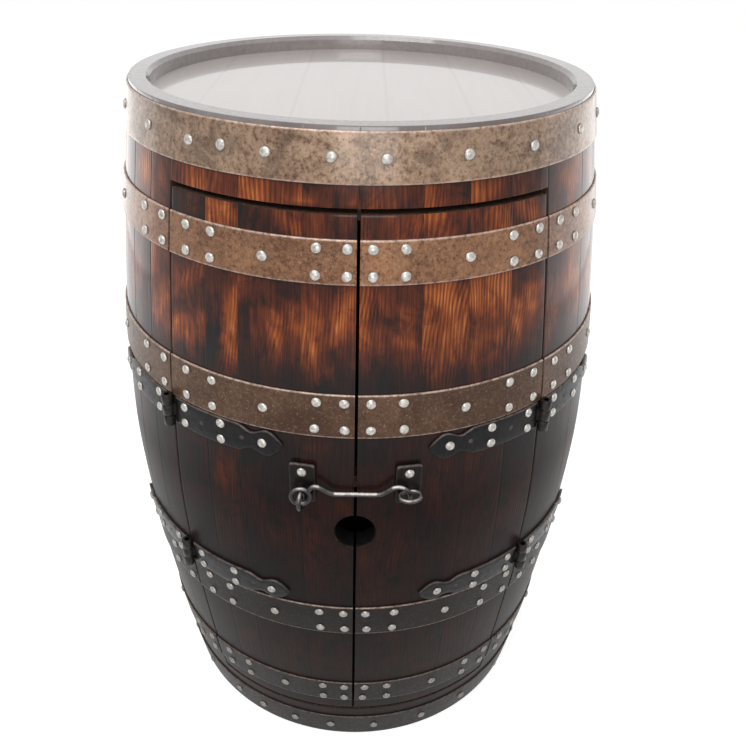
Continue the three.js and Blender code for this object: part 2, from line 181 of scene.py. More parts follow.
# Materials
class Nodes:
    # builds a material or world from its finish, where every part of it has a name
    def __init__(self, owner, finish):
        owner.use_nodes = True
        self.tree, self.finish, self.parts = owner.node_tree, finish, {}

    def put(self, kind, inputs=None, **settings):
        node = self.tree.nodes.new(kind)
        for key, value in settings.items():
            setattr(node, key, value)
        for key, value in (inputs or {}).items():
            self.link(value, node.inputs[key])
        return node

    def link(self, value, socket):
        if isinstance(value, bpy.types.NodeSocket):
            self.tree.links.new(value, socket)
        else:
            socket.default_value = value

    def math(self, operation, *values):
        return self.put("ShaderNodeMath", dict(enumerate(values)), operation=operation).outputs[0]

    def part(self, name):
        # made when it is first asked for; a name that the finish doesn't list is a value stored on the mesh
        makers = {"sums": self.sum, "products": self.product, "ramps": self.ramp, "spans": self.span}
        for kind, maker in makers.items():
            if name not in self.parts and name in self.finish.get(kind, {}):
                self.parts[name] = maker(*self.finish[kind][name])
        if name not in self.parts:
            self.parts[name] = self.put("ShaderNodeAttribute", attribute_name=name).outputs["Fac"]
        return self.parts[name]

    def found(self, value):
        return self.part(value) if isinstance(value, str) else value

    def sum(self, running, weights):
        for name, weight in weights.items():
            running = self.math("MULTIPLY_ADD", self.part(name), weight, running)
        return running

    def product(self, first, second):
        return self.math("MULTIPLY", self.part(first), self.part(second))

    def ramp(self, source, *stops):
        node = self.put("ShaderNodeValToRGB", {"Fac": self.part(source)})
        band = node.color_ramp
        while len(band.elements) < len(stops):
            band.elements.new(1.0)
        for element, (at, colour) in zip(band.elements, stops):
            element.position = at
            element.color = (*(colour if isinstance(colour, tuple) else (colour,) * 3), 1.0)
        return node.outputs["Color"]

    def span(self, source, low, high):
        inputs = {"Value": self.part(source), "From Min": low, "From Max": high}
        return self.put("ShaderNodeMapRange", inputs).outputs[0]

    def blend(self, amount, a, b, mode="MIX"):
        node = self.put("ShaderNodeMix", data_type="RGBA", blend_type=mode)
        self.link(amount, node.inputs["Factor"])
        for key, value in (("A", a), ("B", b)):
            socket = [s for s in node.inputs if s.name == key and s.type == "RGBA"][0]
            self.link((*value, 1.0) if isinstance(value, tuple) else value, socket)
        return [s for s in node.outputs if s.type == "RGBA"][0]

    def coordinates(self):
        # through the piece, or along the stave or board with a third number that picks the part of the noise
        if "board" in self.finish:
            uv = self.put("ShaderNodeUVMap", uv_map="grain").outputs[0]
            across, along = self.put("ShaderNodeSeparateXYZ", {0: uv}).outputs[:2]
            self.parts.update(x=across, z=along)
            third = self.found(self.finish["board"])
            return self.put("ShaderNodeCombineXYZ", {0: across, 1: along, 2: third}).outputs[0]
        place = self.put("ShaderNodeTexCoord").outputs["Object"]
        self.parts.update(zip("xyz", self.put("ShaderNodeSeparateXYZ", {0: place}).outputs))
        self.parts["place"] = place
        return place

    def noises(self):
        source = self.coordinates()
        for name, (scale, detail, rough, distortion) in self.finish.get("noises", {}).items():
            inputs = {"Vector": source, "Scale": scale, "Detail": detail, "Roughness": rough,
                      "Distortion": distortion}
            if isinstance(scale, tuple):
                scaled = self.put("ShaderNodeMapping", {"Vector": source, "Scale": scale})
                inputs.update(Vector=scaled.outputs[0], Scale=1.0)
            self.parts[name] = self.put("ShaderNodeTexNoise", inputs).outputs["Fac"]


def makeMaterial(name, finish, special=None):
    made = bpy.data.materials.new(name)
    n = Nodes(made, finish)
    n.noises()
    if special:
        special(n)
    sockets = n.tree.nodes["Principled BSDF"].inputs
    colour, normal = n.part("colour"), None
    for amount, tint, *mode in finish.get("layers", []):
        colour = n.blend(n.found(amount), colour, n.found(tint), *mode)
    for part, (strength, distance) in finish.get("relief", {}).items():
        inputs = {"Height": n.part(part), "Strength": strength, "Distance": distance}
        if normal:
            inputs["Normal"] = normal
        normal = n.put("ShaderNodeBump", inputs).outputs["Normal"]
        n.link(normal, sockets["Normal"])
        if part == "lacquer":
            n.link(normal, sockets["Coat Normal"])
    n.link(colour, sockets["Base Color"])
    for key, value in finish["shader"].items():
        n.link(n.found(value), sockets[key])
    return made


staveFinish = {  # torch-flamed oak under gloss lacquer: ring figure, pores, flame patches, and smoke with painted shade by height
    "board": 0.0,
    "noises": {  # scale across, along and in depth, or one scale, then detail, roughness and distortion
        "clouds": ((11, 7.5, 1), 3, 0.55, 0.7),
        "flames": ((30, 8, 1), 5, 0.66, 0.9),
        "streaks": ((150, 5.5, 1), 4, 0.62, 0.3),
        "fibres": ((620, 16, 1), 4, 0.6, 0),
        "bend": ((10, 3.6, 1), 2, 0.45, 0),
        "scorch": ((26, 24, 1), 5, 0.7, 1.4),
        "pores": ((820, 24, 1), 2, 0.5, 0),
        "lacquer": ((55, 14, 1), 3, 0.5, 0),
    },
    "sums": {  # a first number, and the weight of each part that is added to it
        "phase": (0.0, {"x": 1450.0, "bend": 110.0}),
        "figured": (0.0, {"clouds": 1.0, "tone": 0.35}),
        "swing": (0.5, {"wave": 0.5}),
        "licked": (-0.035, {"z": 1.0, "flames": 0.07}),
        "wood": (-1.385, {"clouds": 1.35, "flames": 0.95, "streaks": 0.34, "rings": 0.3, "fibres": 0.42,
                          "tone": 0.5, "smoke": -0.1}),
        "clear": (1.0, {"smoke": -0.78}),
        "torch": (0.3, {"streaks": 1.4}),
        "mix": (0.0, {"clouded": 1.0, "burnt": -0.14, "edge": -0.06, "glow": 1.0}),
        "brown": (0.4, {"glow": -1.0}),
        "fine": (0.0, {"fibres": 1.0, "rings": 1.0}),
    },
    "products": {
        "rings": ("swing", "ringDepth"),
        "clouded": ("wood", "clear"),
        "glow": ("lit", "torch"),
        "dull": ("smoke", "brown"),
    },
    "ramps": {  # what each follows, and where its colours or amounts stand
        "ringDepth": ("figured", (0.6, 0.05), (0.78, 1.0)),
        # smoke and painted shade: darkest over the lower half, with bands just above the waist hoop and just
        # under the head hoop
        "smoke": ("licked", (0.0, 1.0), (0.3, 1.0), (0.46, 0.92), (0.58, 0.84), (0.642, 0.74), (0.668, 0.2),
                  (0.69, 0.02), (0.73, 0.0), (0.75, 0.14), (0.79, 0.16), (0.825, 0.04), (0.852, 0.3)),
        "burnt": ("scorch", (0.52, 0.0), (0.66, 1.0)),
        "colour": ("mix", (0.0, (0.0075, 0.0054, 0.0054)), (0.17, (0.03, 0.0086, 0.0055)),
                   (0.4, (0.112, 0.0245, 0.0095)), (0.68, (0.29, 0.069, 0.0165)),
                   (1.0, (0.58, 0.215, 0.062))),
        "poreShade": ("pores", (0.38, 0.42), (0.52, 1.0)),
        "coat": ("z", (0.48, 0.05), (0.66, 0.8)),
    },
    # the dull grey-brown goes over the smoke and painted shade
    "layers": [("dull", (0.0145, 0.0098, 0.0092)), (0.7, "poreShade", "MULTIPLY")],  # amount, colour over it
    "relief": {"lacquer": (0.2, 0.0012), "fine": (0.16, 0.0004)},  # strength, distance
    "shader": {"Roughness": 0.42, "Specular IOR Level": 0.05, "Coat Weight": "coat", "Coat Roughness": 0.1,
               "Coat IOR": 1.27, "Sheen Weight": 0.03, "Sheen Roughness": 0.4},
}
insideFinish = {  # the toasted inside of the staves: upright grain, char in patches, darker along the joints
    "board": "third",
    "noises": {
        "fibres": ((460, 11, 1), 4, 0.6, 0),
        "streaks": ((95, 4, 1), 4, 0.6, 0.4),
        "scrapes": ((14, 210, 1), 2, 0.5, 0),
        "char": ((17, 6, 1), 6, 0.7, 0.8),
    },
    "sums": {
        "third": (0.0, {"tone": 9.0}),
        "mix": (-0.72, {"streaks": 0.75, "fibres": 0.45, "char": 0.9, "tone": 0.28, "edge": -0.3}),
        "rough": (0.0, {"scrapes": 0.5, "fibres": 1.0}),
    },
    "ramps": {"colour": ("mix", (0.08, (0.011, 0.008, 0.007)), (0.45, (0.06, 0.032, 0.019)),
                         (0.85, (0.135, 0.08, 0.048)))},
    "relief": {"rough": (0.35, 0.0008)},
    "shader": {"Roughness": 0.8, "Specular IOR Level": 0.15},
}
sawnFinish = {  # sawn edges with upright grain and porous stave ends, stained dark
    "noises": {
        "upright": ((330, 330, 13), 4, 0.6, 0.2),
        "bands": ((60, 60, 5), 3, 0.5, 0.3),
        "pores": (520, 4, 0.6, 0),
    },
    "sums": {"along": (0.0, {"upright": 0.6, "bands": 0.4})},
    "ramps": {
        "colour": ("grain", (0.32, (0.016, 0.010, 0.0085)), (0.5, (0.05, 0.027, 0.018)),
                   (0.68, (0.12, 0.066, 0.04))),
        "rough": ("grain", (0.3, 0.72), (0.7, 0.55)),
    },
    "endFacing": 0.7,
    "relief": {"grain": (0.22, 0.0005)},
    "shader": {"Roughness": "rough", "Specular IOR Level": 0.25},
}
chimeFinish = {  # stave ends round the head: end grain under thick gloss, painted pale grey for the white studio's reflection, with painted shade at both arrises
    "noises": {"rays": (170, 5, 0.65, 0.4), "cloud": (18, 3, 0.5, 0)},
    "sums": {"mix": (0.0, {"rays": 0.6, "cloud": 0.4})},
    "products": {"stained": ("arrises", "patchy")},
    "ramps": {
        # pale grey: a painted reflection of the white studio over the brown end grain
        "colour": ("mix", (0.32, (0.175, 0.152, 0.147)), (0.48, (0.215, 0.19, 0.184)),
                   (0.66, (0.26, 0.234, 0.228))),
        # painted shade in patches along the inner and outer arris
        "arrises": ("rim", (0.1, 0.75), (0.2, 0.1), (0.5, 0.0), (0.86, 0.0), (0.94, 0.8)),
        "patchy": ("cloud", (0.35, 0.45), (0.6, 1.0)),
        "rough": ("rays", (0.3, 0.45), (0.7, 0.3)),
    },
    "spans": {"rim": ("reach", 0.244, 0.274)},  # from the inner arris to the outer one
    "layers": [("stained", (0.065, 0.043, 0.036))],
    "relief": {"rays": (0.05, 0.0004)},
    "shader": {"Roughness": "rough", "Coat Weight": 1.0, "Coat Roughness": 0.08},
}
bungFinish = {  # the burnt-out bung hole: charred bore kept near black as painted shade inside the hole, scorched brown lip
    "noises": {"char": (260, 5, 0.7, 0), "ember": (60, 3, 0.6, 0)},
    "ramps": {
        "colour": ("char", (0.35, (0.0022, 0.002, 0.002)), (0.6, (0.005, 0.0042, 0.004)),
                   (0.8, (0.012, 0.009, 0.008))),
        "lip": ("ember", (0.45, (0.012, 0.0085, 0.0075)), (0.64, (0.075, 0.036, 0.016))),
    },
    "spans": {"front": ("y", -0.3105, -0.3128)},
    "layers": [("front", "lip")],
    "relief": {"char": (0.5, 0.0012)},
    "shader": {"Roughness": 0.7, "Specular IOR Level": 0.1},
}
# shelf boards, cleats and door stop: oak kept dark as painted shade, so the slit between the doors reads
# black
shelfFinish = {
    "noises": {"wide": ((3, 40, 40), 4, 0.6, 1.5), "fine": ((12, 420, 420), 4, 0.6, 0)},
    "sums": {"mix": (0.0, {"wide": 0.6, "fine": 0.4})},
    "ramps": {"colour": ("mix", (0.3, (0.075, 0.038, 0.021)), (0.5, (0.15, 0.082, 0.046)),
                         (0.7, (0.235, 0.142, 0.083)))},
    "relief": {"fine": (0.25, 0.0005)},
    "shader": {"Roughness": 0.5},
}


def byHeight(low, waist, quarter, head):
    # a colour for the low hoops, then one for each hoop above the waist; the lower ones are darker as painted
    # shade
    return "z", *zip((0.34, 0.46, 0.66, 0.74, 0.80, 0.86), (low, waist, waist, quarter, quarter, head))


# aged steel: warm brown with rust clouds and fine pits, light worn edges, and painted shade that turns it
# nearly black low down
hoopFinish = {
    "noises": {
        "cloud": (13, 5, 0.6, 0.4),
        "patches": (23, 6, 0.66, 0.8),
        "mottle": (190, 5, 0.68, 0.3),
        "grit": (420, 4, 0.7, 0),
        "dents": (30, 2, 0.5, 0),
    },
    "sums": {
        "body": (0.0, {"cloud": 0.55, "mottle": 0.45}),
        "rusty": (0.0, {"mottle": 0.65, "cloud": 0.35}),
        "pitted": (0.0, {"grit": 0.65, "mottle": 0.35}),
        "fine": (0.0, {"grit": 1.0, "mottle": 1.0}),
    },
    "products": {
        "rust": ("rustSpots", "above"),
        "stain": ("stainSpots", "stainHeight"),
        "pits": ("pitSpots", "above"),
        "bright": ("brightSpots", "above"),
        "rubbed": ("edge", "wear"),
        "worn": ("rubbed", "wearHeight"),
    },
    "ramps": {
        "colour": byHeight((0.0085, 0.0075, 0.007), (0.038, 0.0175, 0.0095), (0.12, 0.049, 0.022),
                           (0.15, 0.088, 0.053)),
        "light": byHeight((0.021, 0.0185, 0.017), (0.122, 0.066, 0.037), (0.3, 0.148, 0.074),
                          (0.385, 0.262, 0.175)),
        "lighter": ("body", (0.38, 0.0), (0.62, 1.0)),
        # painted shade: rust, pits and bright specks fade out towards the bottom
        "above": ("z", (0.35, 0.25), (0.6, 1.0)),
        "rustSpots": ("rusty", (0.40, 0.45), (0.48, 0.0)),
        "stainSpots": ("patches", (0.5, 0.0), (0.62, 0.7)),
        "stainHeight": ("z", (0.74, 0.0), (0.86, 1.0)),
        "pitSpots": ("pitted", (0.40, 0.72), (0.455, 0.0)),
        "brightSpots": ("grit", (0.56, 0.0), (0.72, 0.3)),
        "wear": ("mottle", (0.35, 0.2), (0.6, 0.85)),
        # painted shade: the worn edges are dimmer lower down
        "wearHeight": ("z", (0.1, 0.22), (0.5, 0.9)),
        "rough": ("mottle", (0.3, 0.56), (0.7, 0.4)),
        "coat": ("z", (0.35, 0.05), (0.6, 0.3), (0.85, 0.85)),
    },
    "layers": [("lighter", "light"), ("rust", (0.085, 0.034, 0.0175)), ("stain", (0.1, 0.06, 0.037)),
               ("pits", (0.066, 0.032, 0.019)), ("bright", (0.6, 0.46, 0.39)), ("worn", (0.6, 0.46, 0.39))],
    "relief": {"dents": (0.25, 0.002), "fine": (0.3, 0.0006)},
    "shader": {"Metallic": 0.5, "Roughness": "rough", "Specular IOR Level": 0.06, "Coat Weight": "coat",
               "Coat Roughness": 0.16, "Coat IOR": 1.4},
}
rivetFinish = {
    "noises": {"scuffs": (300, 3, 0.55, 0)},
    # grime and painted shade round the foot of each head
    "sums": {"grime": (0.0, {"edge": 0.85})},
    "ramps": {
        "colour": ("scuffs", (0.32, (0.30, 0.275, 0.25)), (0.62, (0.56, 0.54, 0.505))),
        # low: painted shade, the rivets darker towards the bottom
        "low": ("z", (0.1, 0.7), (0.6, 0.0)),
        "rough": ("scuffs", (0.3, 0.48), (0.7, 0.34)),
    },
    "layers": [("low", (0.1, 0.09, 0.085)), ("grime", (0.05, 0.04, 0.035))],
    "relief": {"scuffs": (0.14, 0.0004)},
    "shader": {"Metallic": 0.8, "Roughness": "rough"},
}
darkScale = 0.45  # how dark the fire scale is against the iron's colour
ironKinds = {  # colour, colour of the worn edges and painted highlights, and what differs in the shader
    "blackStrapIron": ((0.012, 0.0115, 0.0125), (0.19, 0.15, 0.135),
                       {"Metallic": 0.3, "Coat Weight": 0.22, "Coat IOR": 1.3, "Coat Roughness": 0.16}),
    "brownPlateIron": ((0.010, 0.0068, 0.0064), (0.19, 0.15, 0.135),
                       {"Metallic": 0.1, "Coat Weight": 0.1, "Coat IOR": 1.3, "Coat Roughness": 0.2}),
    "highlitHookIron": ((0.012, 0.0095, 0.009), (0.6, 0.54, 0.51),
                       {"Metallic": 0.2, "Coat Weight": 0.75, "Coat IOR": 1.38, "Coat Roughness": 0.14}),
}
headKinds = {  # colour, pale colour, seam colour, gloss
    # the top's pale grey is partly a painted reflection of the white studio
    "glossHeadOak": ((0.425, 0.381, 0.364), (0.465, 0.42, 0.405), (0.36, 0.315, 0.298), 1.0),
    "toastedBottomOak": ((0.115, 0.06, 0.033), (0.25, 0.145, 0.08), (0.03, 0.018, 0.012), 0.15),
}


def forgedIron(name):
    # black forged iron: fire scale, hammer marks, and rubbed edges with painted highlights
    base, wornAndLitColour, shader = ironKinds[name]
    return makeMaterial(name, {
        "noises": {"scale": (160, 4, 0.6, 0), "hammer": (55, 2, 0.5, 0)},
        "products": {"worn": ("edge", "wear")},
        "ramps": {
            "colour": ("scale", (0.35, tuple(darkScale * c for c in base)), (0.7, base)),
            "wear": ("scale", (0.35, 0.3), (0.6, 0.8)),
            "rough": ("scale", (0.3, 0.5), (0.7, 0.34)),
        },
        "layers": [("worn", wornAndLitColour)],
        "relief": {"hammer": (0.5, 0.0012), "scale": (0.2, 0.0004)},
        "shader": {"Roughness": "rough", "Specular IOR Level": 0.1, **shader},
    })


def headWood(name):
    # sanded head boards: the top under thick clear gloss, its pale grey partly a painted reflection of the
    # white studio, the bottom toasted brown
    base, pale, seam, gloss = headKinds[name]
    return makeMaterial(name, {
        "board": "tone",
        "noises": {"wide": ((28, 2.4, 9), 4, 0.6, 1.2), "fine": ((300, 8, 5), 4, 0.6, 0)},
        "sums": {"mix": (-0.06, {"wide": 0.65, "fine": 0.35, "tone": 0.12}), "seam": (0.0, {"edge": 0.35})},
        "ramps": {"colour": ("mix", (0.3, base), (0.62, pale))},
        "layers": [("seam", seam)],
        "relief": {"fine": (0.08, 0.0004)},
        "shader": {"Roughness": 0.35, "Coat Weight": gloss, "Coat Roughness": 0.05},
    })


def growthRings(n):
    # a sine of the distance across, bent by slow noise so that it arches like flat-sawn oak
    n.parts["wave"] = n.math("SINE", n.part("phase"))


def endGrain(n):
    # pores on the faces that look up or down, upright grain on the rest
    normal = n.put("ShaderNodeNewGeometry").outputs["Normal"]
    upward = n.put("ShaderNodeSeparateXYZ", {0: normal}).outputs["Z"]
    isEnd = n.math("GREATER_THAN", n.math("ABSOLUTE", upward), sawnFinish["endFacing"])
    mixed = n.put("ShaderNodeMix", {"Factor": isEnd, "A": n.part("along"), "B": n.part("pores")})
    n.parts["grain"] = mixed.outputs[0]


def rimReach(n):
    # distance from the barrel's upright axis
    vector = n.part("place")
    for operation, other in (("SUBTRACT", (axisX, axisY, 0)), ("MULTIPLY", (1, 1, 0))):
        vector = n.put("ShaderNodeVectorMath", {0: vector, 1: other}, operation=operation).outputs[0]
    n.parts["reach"] = n.put("ShaderNodeVectorMath", {0: vector}, operation="LENGTH").outputs["Value"]


staveMats = [  # outside, inside, sawn edges, rim
    makeMaterial("flamedStaveOak", staveFinish, growthRings),
    makeMaterial("toastedInsideOak", insideFinish),
    makeMaterial("sawnEdgeOak", sawnFinish, endGrain),
    makeMaterial("glossChimeOak", chimeFinish, rimReach),
]
oakBung = makeMaterial("burntBungOak", bungFinish)
hoopSteel = makeMaterial("agedHoopSteel", hoopFinish)
rivetSteel = makeMaterial("brightRivetSteel", rivetFinish)
strapIron, plateIron, hookIron = [forgedIron(name) for name in ironKinds]
headOak, bottomOak = [headWood(name) for name in headKinds]
shelfOak = makeMaterial("darkShelfOak", shelfFinish)
print("materials ready")

# Staves
doorSpans = {  # first and last angle of each door, and the gap left at each
    "left": (-barrel["doorAngle"], 0, barrel["jambGap"], barrel["meetingGap"] / 2),
    "right": (0, barrel["doorAngle"], barrel["meetingGap"] / 2, barrel["jambGap"]),
}
staves = {
    "carcassShares": [10, 12, 9, 11, 13, 10, 12, 11, 10, 12, 9, 12, 11, 10, 13, 11],
    "leftDoorShares": [10.5, 8, 13.4, 11],
    "rightDoorShares": [12.6, 9.8, 10, 10.5],
    "splitFrom": 11,  # nodes at least this wide hold two real staves
    "splitAt": (0.44, 0.58),
    "setBack": 0.0002,  # most that a stave stands behind its neighbours
    "edgeInset": [0, 0.0007, 0.002, 0.005],
    "edgeDrop": [0.0002, 0.00005, 0, 0],
    "acrossStep": 0.008,
    "rowStep": 0.018,
    "bevelHeight": 0.008,
    "bevelDepth": 0.007,
    "jointBand": 0.006,  # the wood is darker this near to a joint
    "jointPower": 1.5,
    "rimOutside": 0.0055,  # finished like the rim this far from each end
    "rimInside": 0.034,
    "leftDoorTones": [0.27, 0.54, 0.32, 0.47],
    "rightDoorTones": [0.56, 0.56, 0.71, 0.43],
    "frontTones": [0.44, 0.54, 0.36, 0.52, 0.52, 0.6, 0.15, 0.47],
    "torchSeed": 5,
    "torchAcross": (0.1, 0.9),
    "torchWidth": 0.3,
}
torchMarks = {  # patches left bright: share across the stave, width, height, spread, amount
    "leftDoor": [
        [(0.6, 0.35, 0.70, 0.026, 0.11), (0.5, 0.5, 0.808, 0.01, 0.16), (0.85, 0.25, 0.51, 0.03, 0.14)],
        [(0.78, 0.22, 0.69, 0.036, 0.2), (0.6, 0.35, 0.808, 0.008, 0.42), (0.42, 0.36, 0.505, 0.028, 0.26)],
        [(0.3, 0.2, 0.70, 0.03, 0.04)],
        [(0.2, 0.09, 0.715, 0.008, 0.24), (0.2, 0.09, 0.684, 0.008, 0.24), (0.65, 0.2, 0.70, 0.02, 0.14),
         (0.5, 0.5, 0.81, 0.01, 0.1), (0.6, 0.4, 0.574, 0.012, 0.05), (0.84, 0.14, 0.492, 0.015, 0.16)],
    ],
    "rightDoor": [
        [(0.78, 0.25, 0.69, 0.04, 0.12), (0.5, 0.5, 0.576, 0.01, 0.07), (0.14, 0.12, 0.405, 0.02, 0.14)],
        [(0.04, 0.08, 0.70, 0.03, 0.18), (0.5, 0.5, 0.70, 0.035, 0.04)],
        [(0.25, 0.35, 0.695, 0.03, 0.05), (0.5, 0.4, 0.808, 0.009, 0.18)],
        [(0.6, 0.3, 0.722, 0.022, 0.12)],
    ],
    "front": [
        [(0.5, 0.5, 0.842, 0.007, 0.12)],
        [(0.9, 0.2, 0.84, 0.007, 0.34)],
        [(0.04, 0.12, 0.842, 0.007, 0.24), (0.95, 0.1, 0.833, 0.006, 0.4)],
        [(0.1, 0.2, 0.833, 0.006, 0.4), (0.9, 0.15, 0.836, 0.008, 0.34)],
        [],
        [(0.4, 0.5, 0.84, 0.01, 0.08)],
        [],
        [],
    ],
    "carcass": [(0.66, 0.73, 0.03, 0.16), (0.8, 0.84, 0.01, 0.25)],  # drawn: lowest, highest, spread, most
}


def widths(total):
    # positions across a stave, close together near both edges where the arris is eased
    near = [x for x in staves["edgeInset"] if x < total / 2]
    start, stop = near[-1], total - near[-1]
    count = max(2, round((stop - start) / staves["acrossStep"]))
    middle = [start + (stop - start) * k / count for k in range(1, count)]
    return near + middle + [total - x for x in reversed(near)]


def easedDrop(x, total):
    fromEnd = min(x, total - x)
    for inset, drop in zip(staves["edgeInset"], staves["edgeDrop"]):
        if fromEnd <= inset + 1e-7:  # for rounding
            return drop
    return 0.0


def litAmount(marks, share, z):
    return sum(amount * math.exp(-((share - at) / width) ** 2 - ((z - height) / spread) ** 2)
               for at, width, height, spread, amount in marks)


def staveBlock(fromAngle, toAngle, low, high, tone, lift=0.0, marks=(), fromGap=0.0, toGap=0.0):
    inset, length = staves["edgeInset"], high - low
    plain = length - 2 * inset[-1]
    count = max(2, round(plain / staves["rowStep"]))
    rows = [low + x for x in inset[:-1]]
    rows += [low + inset[-1] + plain * k / count for k in range(count + 1)]
    rows += [high - x for x in reversed(inset[:-1])]
    atHead, atFoot = high == barrel["height"], low == 0
    loops, shares, uvs, edges, lit = [], [], [], [], []
    offset = rng.uniform(0, 5)
    for z in rows:
        outer = sideRadius(z) - lift
        start = math.radians(fromAngle) * outer + fromGap
        width = math.radians(toAngle) * outer - toGap - start
        shares = shares or [x / width for x in widths(width)]
        inner = outer - barrel["thickness"]
        for isEnd, away in ((atHead, barrel["height"] - z), (atFoot, z)):
            if isEnd:
                inner += staves["bevelDepth"] * max(0.0, 1 - away / staves["bevelHeight"])
        outside, inside = [], []
        for share in shares:
            turn = math.degrees((start + share * width) / outer)
            gapTurn = math.degrees((fromGap * (1 - share) - toGap * share) * (1 / inner - 1 / outer))
            drop = max(easedDrop(z - low, length), easedDrop(share * width, width))
            outside.append(around(turn, outer - drop, z))
            inside.append(around(turn + gapTurn, inner, z))
        loops.append(outside + inside[::-1])
        both = shares + shares[::-1]
        uvs += [(share * width + offset, z) for share in both]
        nearness = [max(0.0, 1 - min(share, 1 - share) * width / staves["jointBand"]) for share in both]
        edges += [near ** staves["jointPower"] for near in nearness]
        lit += [litAmount(marks, share, z) for share in shares] + [0.0] * len(shares)
    verts, faces = skinLoops(loops)
    n, mats = len(shares), []
    for face in faces[:-2]:
        ids = [i % (2 * n) for i in face]
        kind = 0 if max(ids) < n else 1 if min(ids) >= n else 2
        heights = [verts[i].z for i in face]
        fromEnd = min(max(heights), barrel["height"] - min(heights))
        mats.append(3 if fromEnd < staves["rimInside" if kind else "rimOutside"] else kind)
    mats += [3 if atFoot else 2, 3 if atHead else 2]
    return verts, faces, uvs, mats, {"tone": [tone] * len(verts), "edge": edges, "lit": lit}


def jointAngles(start, stop, shares):
    angles = [start]
    for share in shares:
        angles.append(angles[-1] + (stop - start) * share / sum(shares))
    return angles


def doorJoints(side):
    start, stop = doorSpans[side][:2]
    return jointAngles(start, stop, staves[f"{side}DoorShares"])


def carcassStaves():
    torch = random.Random(staves["torchSeed"])
    shares, across, width = staves["carcassShares"], staves["torchAcross"], staves["torchWidth"]
    joints = jointAngles(barrel["doorAngle"], 360 - barrel["doorAngle"], shares)
    for k, share in enumerate(shares):
        bundle = Bundle()
        cuts = [joints[k], joints[k + 1]]
        if share >= staves["splitFrom"]:
            cuts.insert(1, cuts[0] + (cuts[1] - cuts[0]) * rng.uniform(*staves["splitAt"]))
        for a, b in zip(cuts, cuts[1:]):
            marks = []
            for lowest, highest, spread, most in torchMarks["carcass"]:
                at, height = torch.uniform(*across), torch.uniform(lowest, highest)
                marks.append((at, width, height, spread, torch.uniform(0, most)))
            tone, lift = rng.random(), rng.uniform(0, staves["setBack"])
            bundle.add(*staveBlock(a, b, 0, barrel["height"], tone, lift, marks))
        number = f"{k + 1:02d}"
        bundle.build(f"carcassStave{number}", "carcass", staveMats, "oak_staves", f"carcass_stave_{number}")


def frontStaves():
    # short stave ends over and under the doors, with the doors' own joints
    joints = doorJoints("left") + doorJoints("right")[1:]
    for name, low, high in (("upper", barrel["height"] - barrel["openingEnd"], barrel["height"]),
                            ("lower", 0, barrel["openingEnd"])):
        bundle = Bundle()
        for a, b, tone, marks in zip(joints, joints[1:], staves["frontTones"], torchMarks["front"]):
            bundle.add(*staveBlock(a, b, low, high, tone, marks=marks))
        bundle.build(f"{name}FrontStaves", "carcass", staveMats, "oak_staves", f"{name}_front_staves")


bungHole = {
    "sides": 48,
    "profile": [(0.0235, -0.06), (0.0235, -0.0032), (0.02448, -0.00144), (0.0263, 0.0),
                (0.0383, 0.01)],  # radius, distance out
}


def bungCutter():
    # a flared plug, turned about the line that runs out of the hole
    loops = []
    for radius, out in bungHole["profile"]:
        centre = Vector((axisX, axisY - barrel["bilgeRadius"] - out, midHeight))
        loops.append(oval(centre, right * radius, up * radius, bungHole["sides"]))
    verts, faces = skinLoops(loops)
    return addObject("bungCutter", makeMesh("bungCutter", verts, faces, [oakBung]))


def cutWith(piece, cutter):
    cut = piece.modifiers.new("bung", "BOOLEAN")
    cut.operation = "DIFFERENCE"
    cut.solver = "EXACT"
    cut.material_mode = "TRANSFER"
    cut.object = cutter
    bpy.context.view_layer.update()
    cutMesh = bpy.data.meshes.new_from_object(piece.evaluated_get(bpy.context.evaluated_depsgraph_get()))
    piece.modifiers.clear()
    old, piece.data = piece.data, cutMesh
    bpy.data.meshes.remove(old)


def doorStaves():
    cutter = bungCutter()
    low, high = barrel["doorBottom"], barrel["doorTop"]
    for side in ("left", "right"):
        joints, tones, marks = doorJoints(side), staves[f"{side}DoorTones"], torchMarks[f"{side}Door"]
        for k, (a, b) in enumerate(zip(joints, joints[1:])):
            fromGap = doorSpans[side][2] if k == 0 else 0.0
            toGap = doorSpans[side][3] if k == len(tones) - 1 else 0.0
            bundle = Bundle()
            bundle.add(*staveBlock(a, b, low, high, tones[k], 0.0, marks[k], fromGap, toGap))
            piece = bundle.build(f"{side}DoorStave{k + 1}", f"{side}_door", staveMats, "oak_doors",
                                 f"{side}_door_stave_{k + 1}")
            if min(abs(a), abs(b)) < 1:  # beside the meeting line
                cutWith(piece, cutter)
    bpy.data.objects.remove(cutter)


carcassStaves()
frontStaves()
doorStaves()
print("staves ready")

